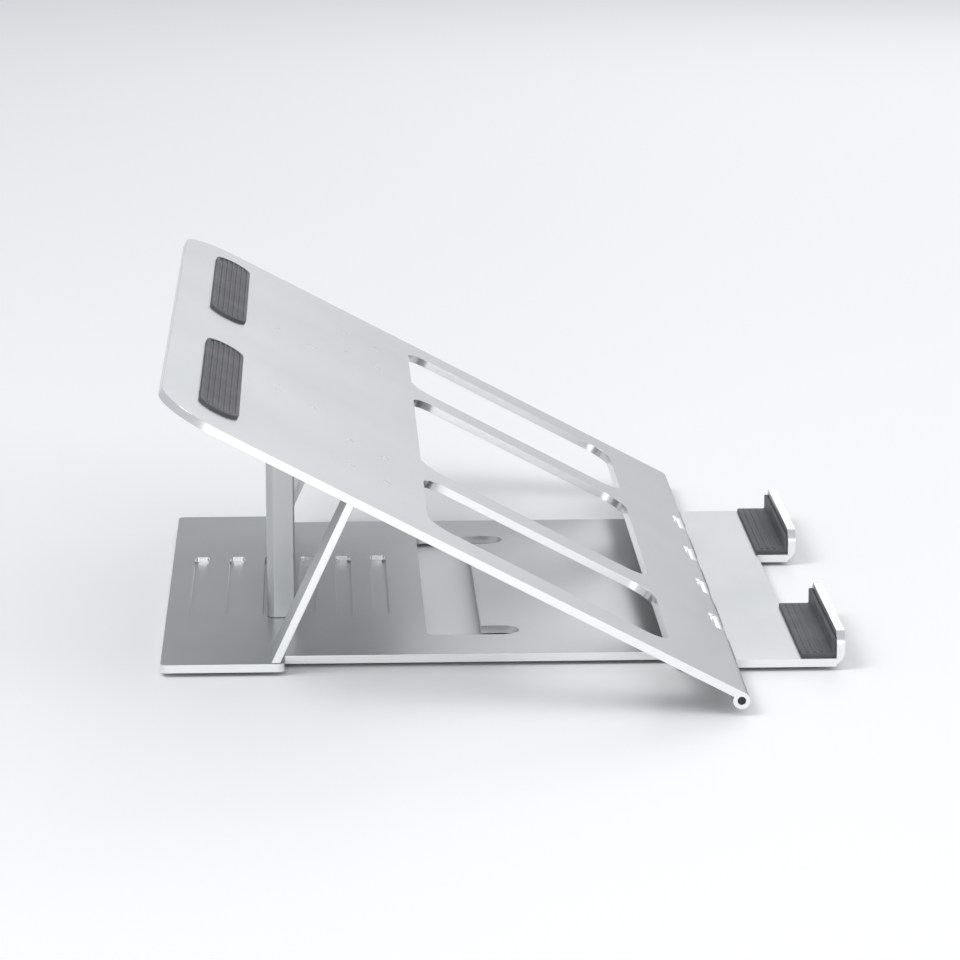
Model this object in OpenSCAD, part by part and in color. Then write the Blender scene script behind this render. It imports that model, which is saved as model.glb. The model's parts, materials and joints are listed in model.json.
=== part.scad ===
// Folding laptop stand: a slotted base plate with front lips, a hinged top plate,
// two swinging support legs and a channel strut whose tab drops into a slot.
// +Z is up, +X points to the user, Y runs across. Left is -Y, as the user sees it.

/* [Sheet] */
// Thickness of the base, top plate and leg sheet
sheet = 2.4; // [2:0.1:4]
// Thickness of the bent brackets
bracket_sheet = 1.6; // [1:0.1:2.5]

/* [Base plate] */
// Length of the base, from the rear edge to the face of the lips
base_len = 195.5; // [180:0.5:240]
// Width of the rear part
rear_width = 176; // [150:1:220]
// Length of the rear part
rear_part_len = 35.5; // [33:0.5:50]
// Width of the waist
waist_width = 159.2; // [140:1:200]
// Width of the front part, across the lips
front_width = 178; // [160:1:230]
// Distance from the hinge back to the start of the front part
front_part_back = 14; // [8:1:30]
// Corner radius of the base
base_corner = 2; // [1:0.5:6]

/* [Height slots] */
// Depth of a slot, a blind groove in the base's top face
slot_depth = 1.4; // [1:0.1:1.8]
// Number of slots
slot_count = 6; // [4:1:6]
// Length of a slot
slot_len = 70; // [50:1:90]
// Width of a slot
slot_width = 4.8; // [4.4:0.1:6]
// Distance between slots
slot_pitch = 11; // [9:0.5:12]
// First slot from the rear edge
slot_first = 9; // [7:0.5:12]

/* [Base window] */
// Rear edge of the window from the rear edge of the base
window_from_rear = 76.7; // [72:0.5:84]
// Length of the window
window_len = 16.3; // [12:0.5:24]
// Width of the window
window_width = 118; // [90:1:130]
// Reach of the two ears beyond the window
ear_reach = 10.9; // [6:0.5:16]
// Width of an ear
ear_width = 10; // [8:0.5:16]

/* [Lips] */
// Height of the lips above the base's underside
lip_height = 10.2; // [8:0.2:18]
// Gap between the two lips
lip_gap = 61; // [40:1:90]
// How far the front edge steps back between the lips
lip_step = 12; // [6:1:16]
// Corner radius of the lips
lip_corner = 4; // [1:0.5:6]
// Thickness of the silicone in the lips
lip_pad = 1.2; // [0.8:0.1:2]
// How far that silicone runs back over the base
lip_pad_run = 10; // [6:0.5:16]

/* [Front hinge] */
// Distance from the rear edge to the hinge
hinge_from_rear = 161.2; // [150:0.5:176]
// Height of the hinge above the base's top face
hinge_rise = 0.8; // [0.5:0.1:1.4]
// Diameter of the hinge rod
hinge_rod_d = 2.2; // [1.6:0.1:2.6]
// Outer diameter of the knuckles
knuckle_d = 4.8; // [4.8:0.1:5]
// Width of a base loop
loop_width = 14; // [8:1:18]
// Distance from the middle to the inner loops
loop_inner = 20; // [16:1:22]
// Distance from the middle to the outer loops
loop_outer = 60; // [54:1:64]
// Depth of the plug in each end of the hinge
plug_len = 2; // [1:0.5:4]

/* [Top plate] */
// Width of the top plate
top_width = 266; // [240:1:320]
// Length of the top plate along its slope
top_len = 180; // [165:1:185]
// Slope of the top plate in use
tilt = 27.8; // [24:0.1:30]
// Radius of the rear corners
top_corner = 18; // [6:1:30]
// Start of the openings, from the hinge
vent_start = 22; // [16:1:40]
// End of the openings, from the hinge
vent_end = 98; // [70:1:100]
// Width of the middle opening
vent_middle = 96; // [60:1:100]
// Inner edge of the side openings, from the middle
vent_side_in = 62; // [56:1:70]
// Rim outside the side openings
vent_rim = 15; // [10:1:30]
// Corner radius of the openings
vent_corner = 8; // [3:1:12]

/* [Silicone strips] */
// Distance from the hinge to the strips
strip_from_hinge = 163; // [155:1:166]
// Width of a strip
strip_width = 12; // [6:0.5:14]
// Length of a strip
strip_len = 92; // [60:1:96]
// Inner end of a strip, from the middle
strip_in = 22; // [10:1:30]
// Thickness of a strip
strip_t = 1; // [0.6:0.1:2]

/* [Support legs] */
// Width of a leg
leg_width = 17.7; // [12:0.5:22]
// Distance from the rear edge to a leg's foot
leg_foot_from_rear = 32.8; // [28:0.5:33]
// Distance from the hinge to the legs' pivot
leg_from_hinge = 116; // [110:1:120]
// Drop of the legs' pivot below the top plate
leg_drop = 4.2; // [4:0.1:6]
// Diameter of the legs' rod
leg_rod_d = 3; // [2:0.1:3.4]

/* [Strut] */
// Which slot holds the strut, from the rear
strut_slot = 3; // [3:1:3]
// Width of the strut
strut_width = 76; // [72:1:96]
// Depth of the channel
strut_depth = 7.9; // [7.5:0.1:10]
// Thickness of the strut's sheet
strut_sheet = 2; // [1.2:0.1:2.4]
// Inner radius of the strut's bends
strut_bend = 0.5; // [0.3:0.1:1]
// Distance from the slot's middle forward to the strut's pivot
strut_pivot_ahead = 4; // [3.8:0.1:4.4]
// Drop of the strut's pivot below the top plate
strut_drop = 5.5; // [5.2:0.1:7]
// Diameter of the strut's rod
strut_rod_d = 2.6; // [2:0.1:3]

/* [Brackets and rivets] */
// Length of a bracket
bracket_len = 19; // [17:0.5:24]
// Width of a bracket's riveted flange
bracket_flange = 11; // [9:0.5:14]
// Distance between a bracket's two rivets
rivet_pitch = 11.5; // [11:0.5:14]
// Diameter of a rivet's shank
rivet_d = 2.5; // [2:0.1:3]
// Diameter of a rivet's head
rivet_head_d = 4.6; // [4:0.1:5]
// Height of a rivet's head
rivet_head_h = 1.1; // [0.6:0.1:1.3]

/* [Rubber feet] */
// Diameter of a foot
foot_d = 12; // [8:0.5:14]
// Height of a foot
foot_h = 1.2; // [1:0.1:3]
// Distance from a foot's middle to the edges
foot_inset = 10; // [8:0.5:14]

/* [Fits] */
// Radial play of a rod in a part that turns on it
rod_play = 0.05; // [0.02:0.01:0.1]
// Gap between parts that move past each other
side_gap = 0.3; // [0.2:0.05:0.6]
// Gap under the legs and the strut's shoulders
seat_gap = 0.15; // [0.1:0.05:0.3]
// Gap round a knuckle in its notch
notch_gap = 0.6; // [0.4:0.1:1]

/* [Hidden] */
$fn = 48;

left = -1;
right = 1;
tiny = 0.01;
big = 400;

rear_x = -base_len / 2;
front_x = base_len / 2;
base_top = foot_h + sheet;
hinge_x = rear_x + hinge_from_rear;
hinge_z = base_top + hinge_rise;
knuckle_r = knuckle_d / 2;
notch_r = knuckle_r + notch_gap;
plate_under = knuckle_r - sheet;
front_part_x = hinge_x - front_part_back;
loops = [-loop_outer, -loop_inner, loop_inner, loop_outer];

// a point under or over the top plate: s runs up the slope, n along its normal
function top_x(s, n) = hinge_x - s * cos(tilt) + n * sin(tilt);
function top_z(s, n) = hinge_z + s * sin(tilt) + n * cos(tilt);

leg_out_y = rear_width / 2;
leg_in_y = leg_out_y - leg_width;
leg_pivot_x = top_x(leg_from_hinge, plate_under - leg_drop);
leg_pivot_z = top_z(leg_from_hinge, plate_under - leg_drop);
leg_foot_x = rear_x + leg_foot_from_rear;
leg_foot_z = base_top + seat_gap;
leg_run = leg_pivot_x - leg_foot_x;
leg_rise = leg_pivot_z - leg_foot_z;
leg_len = sqrt(leg_run * leg_run + leg_rise * leg_rise);
leg_lean = atan2(leg_run, leg_rise);
leg_eye_r = leg_drop - side_gap * 2;

strut_x = rear_x + slot_first + (strut_slot - 1) * slot_pitch;
strut_pivot_x = strut_x + strut_pivot_ahead;
strut_n = plate_under - strut_drop;
strut_from_hinge = (hinge_x - strut_pivot_x + strut_n * sin(tilt)) / cos(tilt);
strut_pivot_z = top_z(strut_from_hinge, strut_n);
strut_web_x = strut_x - strut_sheet / 2;
strut_eye_r = strut_depth - strut_sheet / 2 - strut_pivot_ahead + strut_sheet / 4;
strut_out_y = strut_width / 2;
tab_width = slot_len - 2;

leg_bracket_in_y = leg_in_y - side_gap;
leg_bracket_out_y = leg_out_y + side_gap;
strut_bracket_y = strut_out_y + side_gap;
clip_t = 0.8;
clip_wall = 1.5;

alloy = [0.72, 0.73, 0.74];
steel = [0.62, 0.63, 0.65];
rubber = [0.08, 0.08, 0.085];
silicone = [0.16, 0.16, 0.17];

// ---- shapes used by several parts ----

module round_rect(x0, x1, y0, y1, r) {
    translate([x0 + r, y0]) square([x1 - x0 - 2 * r, y1 - y0]);
    translate([x0, y0 + r]) square([x1 - x0, y1 - y0 - 2 * r]);
    for (x = [x0 + r, x1 - r], y = [y0 + r, y1 - r]) translate([x, y]) circle(r);
}

// a cylinder along Y from y0 to y1
module along_y(d, y0, y1) {
    translate([0, y1, 0]) rotate([90, 0, 0]) cylinder(d = d, h = y1 - y0);
}

module on_top() {
    translate([hinge_x, 0, hinge_z]) rotate([0, tilt, 0]) children();
}

// from the underside of the top plate, where the brackets are riveted
module under_top() {
    on_top() translate([0, 0, plate_under]) children();
}

module at_leg_pivot() {
    translate([leg_pivot_x, 0, leg_pivot_z]) children();
}

module at_strut_pivot() {
    translate([strut_pivot_x, 0, strut_pivot_z]) children();
}

module to_side(side) {
    if (side == left) mirror([0, 1, 0]) children();
    else children();
}

// ---- base plate ----

module base_outline() {
    round_rect(rear_x, rear_x + rear_part_len, -rear_width / 2, rear_width / 2, base_corner);
    round_rect(rear_x + base_corner, front_part_x + base_corner * 2,
        -waist_width / 2, waist_width / 2, base_corner);
    difference() {
        round_rect(front_part_x, front_x - sheet, -front_width / 2, front_width / 2, base_corner);
        translate([front_x - lip_step, -lip_gap / 2]) square([lip_step, lip_gap]);
    }
    // square front corners, where the lips bend up
    for (side = [left, right])
        translate([front_x - sheet - base_corner, side * (front_width / 2 - base_corner / 2)])
            square([base_corner * 2, base_corner], center = true);
}

module slots() {
    for (i = [0 : slot_count - 1])
        round_rect(rear_x + slot_first + i * slot_pitch - slot_width / 2,
            rear_x + slot_first + i * slot_pitch + slot_width / 2,
            -slot_len / 2, slot_len / 2, slot_width / 4);
}

module window() {
    x0 = rear_x + window_from_rear;
    round_rect(x0, x0 + window_len, -window_width / 2, window_width / 2, 3);
    for (side = [left, right])
        translate([0, side * (window_width - ear_width) / 2])
            round_rect(x0 + window_len / 2, x0 + window_len + ear_reach,
                -ear_width / 2, ear_width / 2, ear_width / 2 - tiny);
}

module knuckle_notches() {
    inner = loop_inner - loop_width / 2 - side_gap;
    outer = loop_outer - loop_width / 2 - side_gap;
    rim = loop_outer + loop_width / 2 + side_gap;
    for (span = [[-inner, inner], [inner + loop_width + 2 * side_gap, outer],
            [-outer, -inner - loop_width - 2 * side_gap], [rim, big], [-big, -rim]])
        translate([hinge_x - notch_r, span[0]]) square([2 * notch_r, span[1] - span[0]]);
}

// section of a lip: the sheet turned up through a bend
module lip_section() {
    bend = sheet;
    difference() {
        union() {
            translate([0, -tiny]) square([sheet, lip_height - bend + tiny]);
            translate([-bend, -bend]) square([sheet + bend, bend]);
        }
        difference() {
            translate([sheet - bend * 2 + tiny, -bend - tiny]) square(bend * 2);
            translate([sheet - bend * 2, bend]) circle(bend * 2);
            translate([-big, bend]) square(big);
            translate([-bend * 2, -bend - tiny]) square([bend * 2, big]);
        }
    }
}

module lip() {
    intersection() {
        translate([front_x - sheet, front_width / 2, foot_h + sheet])
            rotate([90, 0, 0]) linear_extrude(front_width / 2 - lip_gap / 2) lip_section();
        translate([front_x - 3 * sheet, 0, 0]) rotate([90, 0, 90]) linear_extrude(4 * sheet)
            round_rect(lip_gap / 2, front_width / 2, -lip_corner, foot_h + lip_height, lip_corner);
    }
}

module base_plate() {
    color(alloy) difference() {
        union() {
            translate([0, 0, foot_h]) linear_extrude(sheet) difference() {
                base_outline();
                window();
                knuckle_notches();
            }
            for (side = [left, right]) to_side(side) lip();
            for (y = loops)
                translate([hinge_x, 0, hinge_z])
                    along_y(knuckle_d, y - loop_width / 2, y + loop_width / 2);
        }
        translate([0, 0, base_top - slot_depth]) linear_extrude(slot_depth + 1) slots();
        translate([hinge_x, 0, hinge_z]) along_y(hinge_rod_d, -big / 2, big / 2);
    }
}

// ---- top plate ----

module vents() {
    round_rect(-vent_end, -vent_start, -vent_middle / 2, vent_middle / 2, vent_corner);
    for (side = [left, right]) {
        y0 = side == left ? vent_rim - top_width / 2 : vent_side_in;
        y1 = side == left ? -vent_side_in : top_width / 2 - vent_rim;
        round_rect(-vent_end, -vent_start, y0, y1, vent_corner);
    }
}

module top_outline() {
    round_rect(-top_len, -top_corner, -top_width / 2, top_width / 2, top_corner);
    translate([-top_len / 2, -top_width / 2]) square([top_len / 2, top_width]);
}

module rivet_holes() {
    for (at = bracket_spots()) rivet_pair(at)
        translate([0, 0, plate_under - tiny]) cylinder(d = rivet_d, h = sheet + 2 * tiny);
}

module top_plate() {
    clear = loop_width / 2 + side_gap;
    color(alloy) on_top() difference() {
        union() {
            translate([0, 0, plate_under]) linear_extrude(sheet) difference() {
                top_outline();
                vents();
            }
            along_y(knuckle_d, -top_width / 2, top_width / 2);
        }
        along_y(hinge_rod_d + 2 * rod_play, -big / 2, big / 2);
        for (y = loops)
            translate([-notch_r, y - clear, -knuckle_r - 1]) cube([2 * notch_r, 2 * clear, big / 4]);
        rivet_holes();
    }
}

// ---- front hinge ----

module hinge_rod() {
    color(steel) translate([hinge_x, 0, hinge_z])
        along_y(hinge_rod_d, plug_len - top_width / 2, top_width / 2 - plug_len);
}

module hinge_plug(side) {
    color(rubber) to_side(side) translate([hinge_x, 0, hinge_z])
        along_y(hinge_rod_d + 2 * rod_play, top_width / 2 - plug_len, top_width / 2);
}

// ---- brackets under the top plate ----
// each spot: distance from the hinge, face of the ear, the way the flange runs, drop of the pivot

function leg_spot(y, way) = [leg_from_hinge, y, way, leg_drop, leg_rod_d + 2 * rod_play];
function strut_spot(y, way) = [strut_from_hinge, y, way, strut_drop, strut_rod_d];
function bracket_spots() = [
    leg_spot(-leg_bracket_out_y, left), leg_spot(-leg_bracket_in_y, right),
    leg_spot(leg_bracket_in_y, left), leg_spot(leg_bracket_out_y, right),
    strut_spot(-strut_bracket_y, left), strut_spot(strut_bracket_y, right)
];

module rivet_pair(at) {
    for (step = [-rivet_pitch / 2, rivet_pitch / 2])
        translate([step - at[0], at[1] + at[2] * (bracket_sheet + bracket_flange) / 2, 0])
            children();
}

module bracket(at) {
    eye_r = at[3] - side_gap * 2;
    y0 = at[2] == left ? at[1] - bracket_flange : at[1];
    ear_y = at[2] == left ? at[1] - bracket_sheet : at[1];
    color(alloy) under_top() difference() {
        union() {
            translate([-at[0], 0, -bracket_sheet]) linear_extrude(bracket_sheet)
                round_rect(-bracket_len / 2, bracket_len / 2, y0, y0 + bracket_flange, 1);
            translate([-at[0], ear_y, -at[3]]) {
                translate([-eye_r, 0, 0]) cube([2 * eye_r, bracket_sheet, at[3]]);
                along_y(2 * eye_r, 0, bracket_sheet);
            }
        }
        translate([-at[0], 0, -at[3]]) along_y(at[4], -big / 2, big / 2);
        rivet_pair(at) translate([0, 0, -bracket_sheet - tiny])
            cylinder(d = rivet_d, h = bracket_sheet + 2 * tiny);
    }
}

module rivets() {
    color(steel) under_top() for (at = bracket_spots()) rivet_pair(at) {
        translate([0, 0, -bracket_sheet]) cylinder(d = rivet_d, h = bracket_sheet + sheet);
        translate([0, 0, -bracket_sheet - rivet_head_h])
            cylinder(d1 = rivet_head_d * 0.6, d2 = rivet_head_d, h = rivet_head_h);
    }
}

// ---- support legs ----

module support_leg(side) {
    color(alloy) to_side(side) difference() {
        at_leg_pivot() rotate([0, leg_lean, 0]) difference() {
            union() {
                translate([-sheet / 2, leg_in_y, -leg_len - 2 * sheet])
                    cube([sheet, leg_width, leg_len + 2 * sheet]);
                along_y(2 * leg_eye_r, leg_in_y, leg_out_y);
            }
            along_y(leg_rod_d, 0, big / 2);
        }
        translate([-big / 2, 0, leg_foot_z - big]) cube(big);
    }
}

module leg_rod() {
    reach = leg_bracket_out_y + bracket_sheet + side_gap + clip_t * 2;
    color(steel) at_leg_pivot() along_y(leg_rod_d, -reach, reach);
}

// a ring kept clear of the bracket's flange above it
module rod_clip(side, rod_d, drop, y) {
    ring_r = min(rod_d / 2 + clip_wall, drop - bracket_sheet - side_gap);
    color(steel) to_side(side) difference() {
        along_y(2 * ring_r, y, y + clip_t);
        along_y(rod_d, y - 1, y + clip_t + 1);
    }
}

module leg_rod_clip(side) {
    at_leg_pivot() rod_clip(side, leg_rod_d, leg_drop, leg_bracket_out_y + bracket_sheet + side_gap);
}

// ---- strut ----

// section of the channel: the web at the rear, two flanges bent forward
module strut_section() {
    in_y = strut_out_y - strut_sheet;
    in_x = strut_web_x + strut_sheet;
    difference() {
        round_rect(strut_web_x, strut_web_x + 2 * strut_depth, -strut_out_y, strut_out_y,
            strut_sheet + strut_bend);
        round_rect(in_x, in_x + 2 * strut_depth, -in_y, in_y, strut_bend);
        translate([strut_web_x + strut_depth, -big / 2]) square(big);
    }
}

module strut() {
    color(alloy) difference() {
        union() {
            translate([0, 0, base_top + seat_gap])
                linear_extrude(strut_pivot_z - base_top - seat_gap) strut_section();
            translate([strut_web_x, -tab_width / 2, base_top - slot_depth + seat_gap])
                cube([strut_sheet, tab_width, slot_depth + 1]);
            for (side = [left, right]) to_side(side) at_strut_pivot()
                along_y(2 * strut_eye_r, strut_out_y - strut_sheet, strut_out_y);
        }
        at_strut_pivot() along_y(strut_rod_d + 2 * rod_play, -big / 2, big / 2);
    }
}

module strut_rod() {
    reach = strut_bracket_y + bracket_sheet + side_gap + clip_t * 2;
    color(steel) at_strut_pivot() along_y(strut_rod_d, -reach, reach);
}

module strut_rod_clip(side) {
    at_strut_pivot()
        rod_clip(side, strut_rod_d, strut_drop, strut_bracket_y + bracket_sheet + side_gap);
}

// ---- silicone and rubber ----

module lip_pad(side) {
    y0 = lip_gap / 2 + lip_pad;
    y1 = front_width / 2 - lip_pad;
    rise = lip_height - sheet - lip_corner / 2;
    color(silicone) to_side(side) {
        translate([front_x - sheet - lip_pad, y0, base_top]) cube([lip_pad, y1 - y0, rise]);
        translate([front_x - sheet - lip_pad_run, y0, base_top])
            cube([lip_pad_run, y1 - y0, lip_pad]);
    }
}

module top_strip(side) {
    color(silicone) to_side(side) on_top() translate([0, 0, knuckle_r]) linear_extrude(strip_t)
        round_rect(-strip_from_hinge - strip_width / 2, -strip_from_hinge + strip_width / 2,
            strip_in, strip_in + strip_len, strip_width / 2 - tiny);
}

module foot(side, x, y) {
    color(rubber) to_side(side) translate([x, y, 0])
        cylinder(d1 = foot_d - foot_h, d2 = foot_d, h = foot_h);
}

module rear_foot(side) {
    foot(side, rear_x + foot_inset, rear_width / 2 - foot_inset);
}

module front_foot(side) {
    foot(side, front_x - sheet - foot_inset, front_width / 2 - foot_inset);
}

base_plate();
top_plate();
hinge_rod();
hinge_plug(left);  // hinge_plug_left
hinge_plug(right);  // hinge_plug_right
bracket(bracket_spots()[0]);  // leg_bracket_outer_left
bracket(bracket_spots()[1]);  // leg_bracket_inner_left
bracket(bracket_spots()[2]);  // leg_bracket_inner_right
bracket(bracket_spots()[3]);  // leg_bracket_outer_right
bracket(bracket_spots()[4]);  // strut_bracket_left
bracket(bracket_spots()[5]);  // strut_bracket_right
rivets();
support_leg(left);  // support_leg_left
support_leg(right);  // support_leg_right
leg_rod();
leg_rod_clip(left);  // leg_rod_clip_left
leg_rod_clip(right);  // leg_rod_clip_right
strut();
strut_rod();
strut_rod_clip(left);  // strut_rod_clip_left
strut_rod_clip(right);  // strut_rod_clip_right
lip_pad(left);  // lip_pad_left
lip_pad(right);  // lip_pad_right
top_strip(left);  // top_strip_left
top_strip(right);  // top_strip_right
rear_foot(left);  // foot_rear_left
rear_foot(right);  // foot_rear_right
front_foot(left);  // foot_front_left
front_foot(right);  // foot_front_right
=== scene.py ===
import bpy, bmesh, json
from math import atan2, cos, pi, sin
from mathutils import Matrix, Vector


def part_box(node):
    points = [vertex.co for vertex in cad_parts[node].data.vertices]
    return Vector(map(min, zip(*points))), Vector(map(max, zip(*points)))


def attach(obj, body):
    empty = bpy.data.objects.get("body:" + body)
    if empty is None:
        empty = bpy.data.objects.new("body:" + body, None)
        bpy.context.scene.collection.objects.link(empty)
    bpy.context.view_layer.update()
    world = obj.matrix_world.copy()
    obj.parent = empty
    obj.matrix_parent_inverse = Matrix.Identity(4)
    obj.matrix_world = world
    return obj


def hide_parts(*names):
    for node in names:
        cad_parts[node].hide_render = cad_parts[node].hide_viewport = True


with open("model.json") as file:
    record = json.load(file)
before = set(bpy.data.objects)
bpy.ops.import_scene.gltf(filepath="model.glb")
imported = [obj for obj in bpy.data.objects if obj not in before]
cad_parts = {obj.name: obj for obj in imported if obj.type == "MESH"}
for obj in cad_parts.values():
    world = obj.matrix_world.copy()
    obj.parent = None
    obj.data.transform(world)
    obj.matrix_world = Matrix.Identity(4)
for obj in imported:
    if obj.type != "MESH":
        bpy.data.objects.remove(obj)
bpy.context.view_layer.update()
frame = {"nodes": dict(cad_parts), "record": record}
nodes = frame["nodes"]
mm = 0.001
mounts = {m["name"]: m for m in frame["record"]["mounts"]}
joints = {j["name"]: j for j in frame["record"]["behaviour"]["joints"]}
hinge = Vector(joints["top_tilt"]["pos_m"])
plateNormal = Vector(mounts["laptop_face_left"]["axis"])
print("frame loaded")

view = {"place": (-0.053, -1.185, 0.317), "aim": (-0.003, 0.0, 0.036), "lens": 150, "sensor": 36}

camData = bpy.data.cameras.new("camera")
camData.lens = view["lens"]
camData.sensor_width = view["sensor"]
camera = bpy.data.objects.new("camera", camData)
bpy.context.collection.objects.link(camera)
camera.location = view["place"]
toStand = Vector(view["aim"]) - Vector(view["place"])
camera.rotation_euler = toStand.to_track_quat("-Z", "Y").to_euler()
bpy.context.scene.camera = camera
print("camera set")


class Sock:
    # a shader socket that takes part in plain sums
    def __init__(self, shader, socket):
        self.shader = shader
        self.socket = socket

    def maths(self, operation, *others):
        values = {i: v for i, v in enumerate((self,) + others)}
        return self.shader.node("ShaderNodeMath", {"operation": operation}, values)

    def __add__(self, other):
        return self.maths("ADD", other)

    def __sub__(self, other):
        return self.maths("SUBTRACT", other)

    def __mul__(self, other):
        return self.maths("MULTIPLY", other)

    def __rsub__(self, other):
        return (self * -1) + other

    __radd__ = __add__
    __rmul__ = __mul__

    def size(self):
        return self.maths("ABSOLUTE")

    def over(self, level, soft):
        # 0 below the level, 1 above it, with a soft step
        return self.shader.node("ShaderNodeMapRange", {"clamp": True},
                                {"Value": self, "From Min": level - soft, "From Max": level + soft})


class Shader:
    def __init__(self, name):
        self.material = bpy.data.materials.new(name)
        self.material.use_nodes = True
        self.tree = self.material.node_tree
        self.main = self.tree.nodes["Principled BSDF"]

    def node(self, kind, settings=None, values=None, output=0):
        made = self.tree.nodes.new(kind)
        for key, value in (settings or {}).items():
            setattr(made, key, value)
        self.fill(made, values or {})
        return Sock(self, made.outputs[output])

    def fill(self, made, values):
        for key, value in values.items():
            if isinstance(value, Sock):
                self.tree.links.new(value.socket, made.inputs[key])
            else:
                made.inputs[key].default_value = value

    def finish(self, **values):
        self.fill(self.main, {key.replace("_", " "): value for key, value in values.items()})
        return self.material

    def place(self):
        return self.node("ShaderNodeTexCoord", output="Object")

    def part(self, axis):
        # one part of the place: X, Y or Z
        return self.node("ShaderNodeSeparateXYZ", values={"Vector": self.place()}, output=axis)

    def facing(self):
        return self.node("ShaderNodeNewGeometry", output="Normal")

    def noise(self, scale, detail, stretch=(1, 1, 1)):
        spot = self.node("ShaderNodeMapping", values={"Vector": self.place(), "Scale": stretch})
        return self.node("ShaderNodeTexNoise", values={"Vector": spot, "Scale": scale, "Detail": detail})

    def blendColours(self, factor, first, second):
        mixed = self.tree.nodes.new("ShaderNodeMix")
        mixed.data_type = "RGBA"
        self.tree.links.new(factor.socket, mixed.inputs["Factor"])
        for name, colour in (("A", first), ("B", second)):
            socket = [s for s in mixed.inputs if s.name == name and s.type == "RGBA"][0]
            if isinstance(colour, Sock):
                self.tree.links.new(colour.socket, socket)
            else:
                socket.default_value = (*colour, 1)
        return Sock(self, [s for s in mixed.outputs if s.type == "RGBA"][0])

    def bump(self, height, depth):
        return self.node("ShaderNodeBump", values={"Height": height, "Distance": depth, "Strength": 1.0})


noiseMiddle = 0.5
edgeMask = {"level": 0.6, "soft": 0.1, "bendTop": 4.2 * mm, "bendSoft": 0.3 * mm,
            "knuckleReach": 3.2 * mm, "rimDepth": 0.2 * mm, "rimSoft": 0.1 * mm}


def faces(shader, direction):
    # 1 where the surface faces along the direction, either way round
    along = shader.node("ShaderNodeVectorMath", {"operation": "DOT_PRODUCT"},
                        {0: shader.facing(), 1: tuple(direction)}, output="Value")
    return along.size().over(edgeMask["level"], edgeMask["soft"])


def baseEdges(shader):
    # walls of the flat sheet are cut edges; above the bend it is the tops and ends of the lips
    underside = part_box("base_plate")[0][2]
    lip = shader.part("Z").over(underside + edgeMask["bendTop"], edgeMask["bendSoft"])
    flat = 1 - faces(shader, (0, 0, 1))
    bent = 1 - faces(shader, (1, 0, 0))
    return flat * (1 - lip) + bent * lip


def topEdges(shader):
    # the rolled knuckle keeps the blasted face, so the walls count only away from it
    inProfile = shader.node("ShaderNodeVectorMath", {"operation": "MULTIPLY"},
                            {0: shader.place(), 1: (1, 0, 1)})
    reach = shader.node("ShaderNodeVectorMath", {"operation": "DISTANCE"},
                        {0: inProfile, 1: (hinge.x, 0, hinge.z)}, output="Value")
    wall = 1 - faces(shader, plateNormal)
    away = reach.over(edgeMask["knuckleReach"], edgeMask["bendSoft"])
    return (wall * away).maths("MAXIMUM", faces(shader, (0, 1, 0)))


def legEdges(shader):
    return faces(shader, (0, 1, 0))


def strutEdges(shader):
    # the ends of the channel and the front rims of its flanges
    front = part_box("strut")[1][0]
    rims = shader.part("X").over(front - edgeMask["rimDepth"], edgeMask["rimSoft"])
    return faces(shader, (0, 0, 1)).maths("MAXIMUM", rims)


alloyLook = {"face": (0.50, 0.51, 0.51), "worn": (0.455, 0.465, 0.465), "edge": (0.88, 0.885, 0.89),
             "faceRough": 0.36, "edgeRough": 0.20, "detail": 2.0,
             "cloudScale": 18, "cloudSoft": 0.25, "cloudRough": 0.05,
             "blastScale": 2600, "blastRough": 0.12, "blastDepth": 0.012 * mm,
             "streakScale": 900, "streakStretch": (0.02, 0.02, 1), "streakRough": 0.10,
             "coat": 0.10, "coatRough": 0.3}


def blastedAlloy(name, edges=None):
    # bead blasted, anodised sheet with brighter cut edges
    look = alloyLook
    shader = Shader(name)
    cloud = shader.noise(look["cloudScale"], look["detail"]).over(noiseMiddle, look["cloudSoft"])
    fine = shader.noise(look["blastScale"], look["detail"])
    colour = shader.blendColours(cloud, look["face"], look["worn"])
    uneven = (fine - noiseMiddle) * look["blastRough"] + (cloud - noiseMiddle) * look["cloudRough"]
    rough = uneven + look["faceRough"]
    height = fine
    if edges is not None:
        cut = edges(shader)
        streak = shader.noise(look["streakScale"], look["detail"], look["streakStretch"])
        colour = shader.blendColours(cut, colour, look["edge"])
        rough = rough * (1 - cut) + (streak * look["streakRough"] + look["edgeRough"]) * cut
        height = fine * (1 - cut) + streak * cut
    return shader.finish(Base_Color=colour, Metallic=1.0, Roughness=rough, Coat_Weight=look["coat"],
                         Coat_Roughness=look["coatRough"], Normal=shader.bump(height, look["blastDepth"]))


rodLook = {"dark": (0.50, 0.50, 0.52), "light": (0.66, 0.66, 0.67), "rough": 0.18, "ringRough": 0.16,
           "ringScale": 1400, "ringDetail": 2.0, "ringStretch": (0.2, 1, 0.2), "ringDepth": 0.01 * mm}


def groundSteel():
    # centreless ground rod: fine rings round the rod
    look = rodLook
    shader = Shader("ground steel")
    rings = shader.noise(look["ringScale"], look["ringDetail"], look["ringStretch"])
    tint = shader.blendColours(rings, look["dark"], look["light"])
    return shader.finish(Base_Color=tint, Metallic=1.0, Roughness=rings * look["ringRough"] + look["rough"],
                         Normal=shader.bump(rings, look["ringDepth"]))


rubberLook = {"poreDetail": 4.0, "poreRough": 0.18, "poreDepth": 0.03 * mm, "specular": 0.4,
              "dustScale": 60, "dustDetail": 3.0, "dustLevel": 0.58, "dustSoft": 0.14}
siliconeLook = {"colour": (0.075, 0.076, 0.08), "dusty": (0.12, 0.12, 0.125), "grain": 1800, "rough": 0.50}
footLook = {"colour": (0.030, 0.030, 0.032), "dusty": (0.07, 0.07, 0.07), "grain": 2400, "rough": 0.62}
plugLook = {"colour": (0.02, 0.02, 0.022), "dusty": (0.04, 0.04, 0.04), "grain": 1200, "rough": 0.38}


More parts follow.
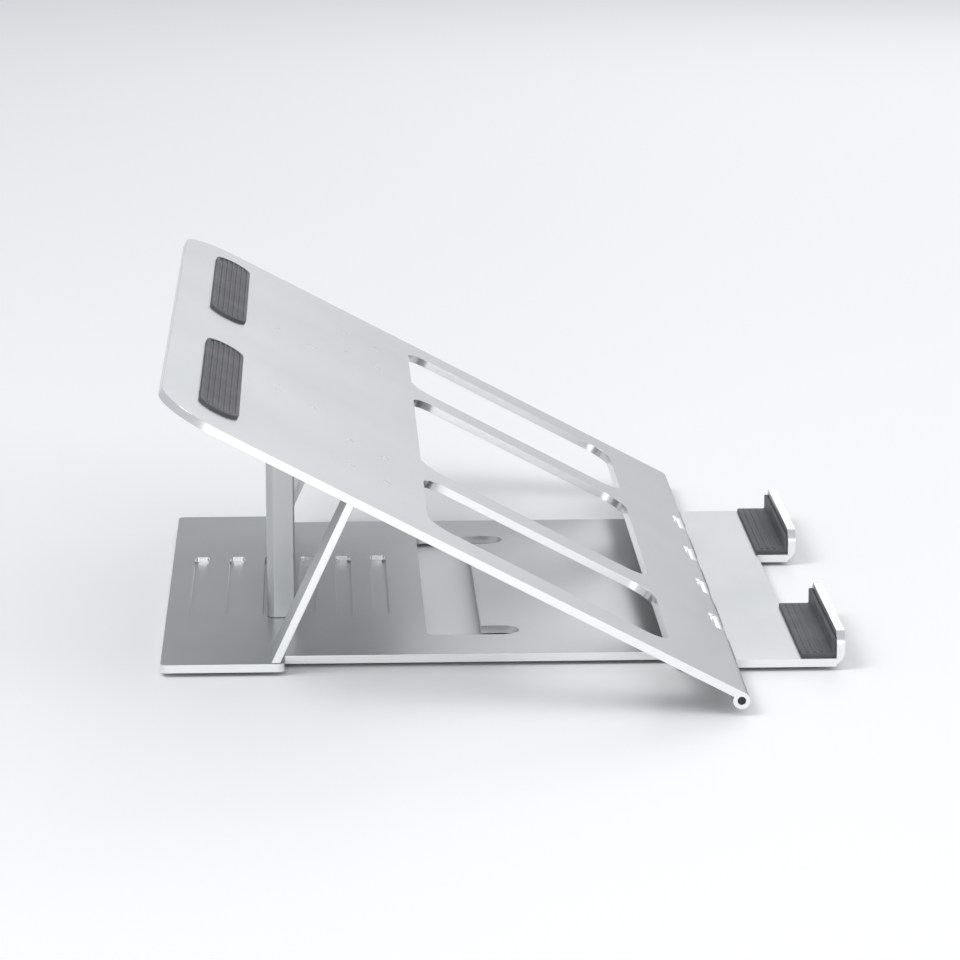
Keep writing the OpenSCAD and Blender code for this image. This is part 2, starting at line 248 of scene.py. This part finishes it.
def softRubber(name, look):
    # a fine-pored moulded skin with pale dust in patches
    shader = Shader(name)
    pores = shader.noise(look["grain"], rubberLook["poreDetail"])
    dust = shader.noise(rubberLook["dustScale"], rubberLook["dustDetail"])
    patches = dust.over(rubberLook["dustLevel"], rubberLook["dustSoft"])
    tint = shader.blendColours(patches, look["colour"], look["dusty"])
    return shader.finish(Base_Color=tint, Roughness=pores * rubberLook["poreRough"] + look["rough"],
                         Normal=shader.bump(pores, rubberLook["poreDepth"]),
                         Specular_IOR_Level=rubberLook["specular"])


floorLook = {"dark": (0.93, 0.93, 0.93), "light": (0.95, 0.95, 0.95), "rough": 0.55,
             "cloudScale": 1.5, "cloudDetail": 2.0}


def paleFloor():
    shader = Shader("pale floor")
    cloud = shader.noise(floorLook["cloudScale"], floorLook["cloudDetail"])
    return shader.finish(Base_Color=shader.blendColours(cloud, floorLook["dark"], floorLook["light"]),
                         Roughness=floorLook["rough"])


silicone = softRubber("silicone", siliconeLook)
rubber = softRubber("foot rubber", footLook)
bySlot = {"alloy": blastedAlloy("blasted alloy"), "steel": groundSteel(), "silicone": silicone,
          "rubber": rubber, "plug": softRubber("plug plastic", plugLook)}
finishes = {"base_plate": blastedAlloy("base alloy", baseEdges),
            "top_plate": blastedAlloy("plate alloy", topEdges),
            "support_leg_left": blastedAlloy("leg alloy", legEdges),
            "strut": blastedAlloy("strut alloy", strutEdges)}
finishes["support_leg_right"] = finishes["support_leg_left"]
print("materials made")


edgeBreak = {"width": 0.2 * mm, "segments": 2, "angle": 0.6, "flatness": 0.01, "weld": 0.002 * mm,
             "faceWeight": 100}


def dress(name, slotName):
    node = nodes[name]
    finish = finishes.get(name, bySlot[slotName])
    for slot in node.material_slots:
        slot.material = finish
    weld = node.modifiers.new("weld", "WELD")
    weld.merge_threshold = edgeBreak["weld"]
    flat = node.modifiers.new("flat faces", "DECIMATE")
    flat.decimate_type = "DISSOLVE"
    flat.angle_limit = edgeBreak["flatness"]
    bevel = node.modifiers.new("edge break", "BEVEL")
    bevel.width = edgeBreak["width"]
    bevel.segments = edgeBreak["segments"]
    bevel.limit_method = "ANGLE"
    bevel.angle_limit = edgeBreak["angle"]
    shading = node.modifiers.new("shading", "WEIGHTED_NORMAL")
    shading.weight = edgeBreak["faceWeight"]
    shading.keep_sharp = False


for part in frame["record"]["subparts"]:
    dress(part["node"], part["material_slot"])
print("CAD nodes dressed")


joining = {"reach": 0.001 * mm, "sharpAngle": 0.7, "parallel": 0.99, "upward": 0.9}


def addPiece(name, bm, material, body, stoodFor):
    bmesh.ops.remove_doubles(bm, verts=bm.verts, dist=joining["reach"])
    bmesh.ops.recalc_face_normals(bm, faces=bm.faces)
    mesh = bpy.data.meshes.new(name)
    bm.to_mesh(mesh)
    bm.free()
    for face in mesh.polygons:
        face.use_smooth = True
    mesh.set_sharp_from_angle(angle=joining["sharpAngle"])
    mesh.materials.append(material)
    piece = bpy.data.objects.new(name, mesh)
    bpy.context.collection.objects.link(piece)
    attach(piece, body)
    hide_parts(stoodFor)


def bevelEdges(bm, edges, width, segments):
    bmesh.ops.bevel(bm, geom=edges, offset=width, segments=segments, affect="EDGES",
                    profile=0.5, material=-1, clamp_overlap=True)


def addBlock(bm, size, centre):
    made = bmesh.ops.create_cube(bm, size=1)["verts"]
    bmesh.ops.scale(bm, vec=size, verts=made)
    bmesh.ops.translate(bm, vec=centre, verts=made)
    return made


def edgesAlong(verts, axis):
    found = {e for v in verts for e in v.link_edges}
    return [e for e in found
            if abs((e.verts[0].co - e.verts[1].co).normalized()[axis]) > joining["parallel"]]


def addRidge(bm, size, centre, roundness, steps):
    # a bar along Y whose two upper edges are rounded
    bar = addBlock(bm, size, centre)
    upper = [e for e in edgesAlong(bar, 1) if e.verts[0].co.z > centre[2]]
    bevelEdges(bm, upper, roundness, steps)


# ribRoom and ribInset count in rims: what the ribs leave free across, and at their ends
strip = {"thick": 1.0 * mm, "endRound": 0.49, "endSteps": 10, "rim": 0.9 * mm, "rimRound": 0.2 * mm,
         "sink": 0.35 * mm, "sinkSlope": 0.1 * mm, "ribPitch": 1.7 * mm, "ribWidth": 0.9 * mm,
         "ribRise": 0.1 * mm, "ribLow": 0.03 * mm, "ribRound": 0.28 * mm, "ribRoom": 3.5, "ribInset": 1.8,
         "roundSteps": 3}


def topStrip(side, name):
    # a silicone strip with a raised rim and lengthwise ribs inside it
    low, high = (Vector(c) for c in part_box(name))
    lean = atan2(plateNormal.x, plateNormal.z)
    width = (high.x - low.x - strip["thick"] * sin(lean)) / cos(lean)
    length = high.y - low.y
    bm = bmesh.new()
    block = addBlock(bm, (width, length, strip["thick"]), (0, 0, -strip["thick"] / 2))
    bevelEdges(bm, edgesAlong(block, 2), width * strip["endRound"], strip["endSteps"])
    rim = [e for f in bm.faces if f.normal.z > joining["upward"] for e in f.edges]
    bevelEdges(bm, rim, strip["rimRound"], strip["roundSteps"])
    top = max((f for f in bm.faces if f.normal.z > joining["upward"]), key=lambda f: f.calc_area())
    bmesh.ops.inset_individual(bm, faces=[top], thickness=strip["rim"], depth=0)
    bmesh.ops.inset_individual(bm, faces=[top], thickness=strip["sinkSlope"], depth=-strip["sink"])
    ribs = int((width - strip["ribRoom"] * strip["rim"]) / strip["ribPitch"])
    ribReach = width / 2 - strip["rim"] * strip["ribInset"]
    tall = strip["sink"] + strip["ribRise"]
    for i in range(ribs):
        across = (i - (ribs - 1) / 2) * strip["ribPitch"]
        run = length - width + 2 * (ribReach ** 2 - across ** 2) ** 0.5
        addRidge(bm, (strip["ribWidth"], run, tall), (across, 0, -tall / 2 - strip["ribLow"]),
                 strip["ribRound"], strip["roundSteps"])
    centre = Vector(mounts["laptop_face_" + side]["pos_m"])
    turn = Matrix.Rotation(lean, 4, "Y")
    bmesh.ops.transform(bm, matrix=Matrix.Translation(centre) @ turn, verts=bm.verts)
    addPiece("strip_" + side, bm, silicone, "top", name)


lipPad = {"thick": 1.2 * mm, "round": 0.35 * mm, "roundSteps": 4, "cornerAngle": 0.5,
          "ridgePitch": 2.0 * mm, "ridgeWidth": 0.8 * mm, "ridgeTall": 0.3 * mm, "ridgeShort": 3 * mm,
          "ridgeRise": 0.10 * mm, "ridgeRound": 0.2 * mm, "ridgeSteps": 3}


def lipLining(side, name):
    # an angled silicone lining: one leg stands against the lip, the other lies on the base
    low, high = (Vector(c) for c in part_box(name))
    t = lipPad["thick"]
    bm = bmesh.new()
    outline = [(low.x, low.z), (high.x, low.z), (high.x, high.z), (high.x - t, high.z),
               (high.x - t, low.z + t), (low.x, low.z + t)]
    corners = [bm.verts.new((x, low.y, z)) for x, z in outline]
    face = bm.faces.new(corners)
    ran = bmesh.ops.extrude_face_region(bm, geom=[face])
    moved = [v for v in ran["geom"] if isinstance(v, bmesh.types.BMVert)]
    bmesh.ops.translate(bm, vec=(0, high.y - low.y, 0), verts=moved)
    bmesh.ops.recalc_face_normals(bm, faces=bm.faces)
    outer = [e for e in bm.edges if e.is_manifold and e.calc_face_angle(0) > lipPad["cornerAngle"]
             and min(v.co.z for v in e.verts) > low.z + t / 2]
    bevelEdges(bm, outer, lipPad["round"], lipPad["roundSteps"])
    ridges = int((high.x - t - low.x) / lipPad["ridgePitch"]) - 1
    ridgeLong = high.y - low.y - lipPad["ridgeShort"]
    for i in range(ridges):
        x = low.x + (i + 1) * lipPad["ridgePitch"]
        addRidge(bm, (lipPad["ridgeWidth"], ridgeLong, lipPad["ridgeTall"]),
                 (x, (low.y + high.y) / 2, low.z + t + lipPad["ridgeRise"]),
                 lipPad["ridgeRound"], lipPad["ridgeSteps"])
    addPiece("lining_" + side, bm, silicone, "base", name)


foot = {"round": 0.4 * mm, "roundSteps": 4, "taper": 0.6 * mm, "groove": 0.3 * mm, "grooveAt": 0.62,
        "steps": 56}


def rubberFoot(name):
    # a turned disc with a round groove in its sole and a tapered side
    low, high = (Vector(c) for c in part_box(name))
    radius = (high.x - low.x) / 2
    tall = high.z - low.z
    r, g, inner = foot["round"], foot["groove"], radius * foot["grooveAt"]
    sole = radius - foot["taper"] - r
    outline = [(0, 0), (inner - g, 0), (inner, g), (inner + g, 0), (sole, 0)]
    for i in range(foot["roundSteps"]):
        turn = (i + 1) * pi / (2 * foot["roundSteps"])
        outline.append((sole + r * sin(turn), r - r * cos(turn)))
    outline += [(radius, tall), (0, tall)]
    bm = bmesh.new()
    chain = [bm.verts.new((x, 0, z)) for x, z in outline]
    edges = [bm.edges.new(pair) for pair in zip(chain, chain[1:])]
    bmesh.ops.spin(bm, geom=chain + edges, cent=(0, 0, 0), axis=(0, 0, 1), angle=2 * pi,
                   steps=foot["steps"], use_merge=True)
    centre = Vector(((low.x + high.x) / 2, (low.y + high.y) / 2, low.z))
    bmesh.ops.translate(bm, vec=centre, verts=bm.verts)
    addPiece(name.replace("foot_", "pad_"), bm, rubber, "base", name)


for side in ("left", "right"):
    topStrip(side, "top_strip_" + side)
    lipLining(side, "lip_pad_" + side)
    for end in ("rear", "front"):
        rubberFoot("foot_" + end + "_" + side)
print("silicone and rubber made")


# each lamp has a place, a size and a power
studio = {"floor": 30.0, "world": (0.93, 0.95, 1.0), "worldPower": 0.62, "lampAim": (0, 0, 0.04),
          "lamps": [("key", (-0.9, -0.5, 1.4), 0.8, 11), ("fill", (1.3, -0.9, 0.8), 1.0, 4.5),
                    ("back", (0.5, 1.3, 0.8), 0.9, 3.5), ("front", (-0.2, -1.6, 0.35), 0.9, 5)]}

bm = bmesh.new()
bmesh.ops.create_grid(bm, x_segments=1, y_segments=1, size=studio["floor"])
floorMesh = bpy.data.meshes.new("floor")
bm.to_mesh(floorMesh)
bm.free()
floorMesh.materials.append(paleFloor())
floor = bpy.data.objects.new("floor", floorMesh)
bpy.context.collection.objects.link(floor)

for name, spot, size, power in studio["lamps"]:
    lampData = bpy.data.lights.new(name, "AREA")
    lampData.size = size
    lampData.energy = power
    lamp = bpy.data.objects.new(name, lampData)
    bpy.context.collection.objects.link(lamp)
    lamp.location = spot
    toAim = Vector(studio["lampAim"]) - Vector(spot)
    lamp.rotation_euler = toAim.to_track_quat("-Z", "Y").to_euler()

world = bpy.data.worlds.new("studio")
world.use_nodes = True
sky = world.node_tree.nodes["Background"]
sky.inputs["Color"].default_value = (*studio["world"], 1)
sky.inputs["Strength"].default_value = studio["worldPower"]
bpy.context.scene.world = world
bpy.context.scene.view_settings.view_transform = "Standard"
print("studio set")
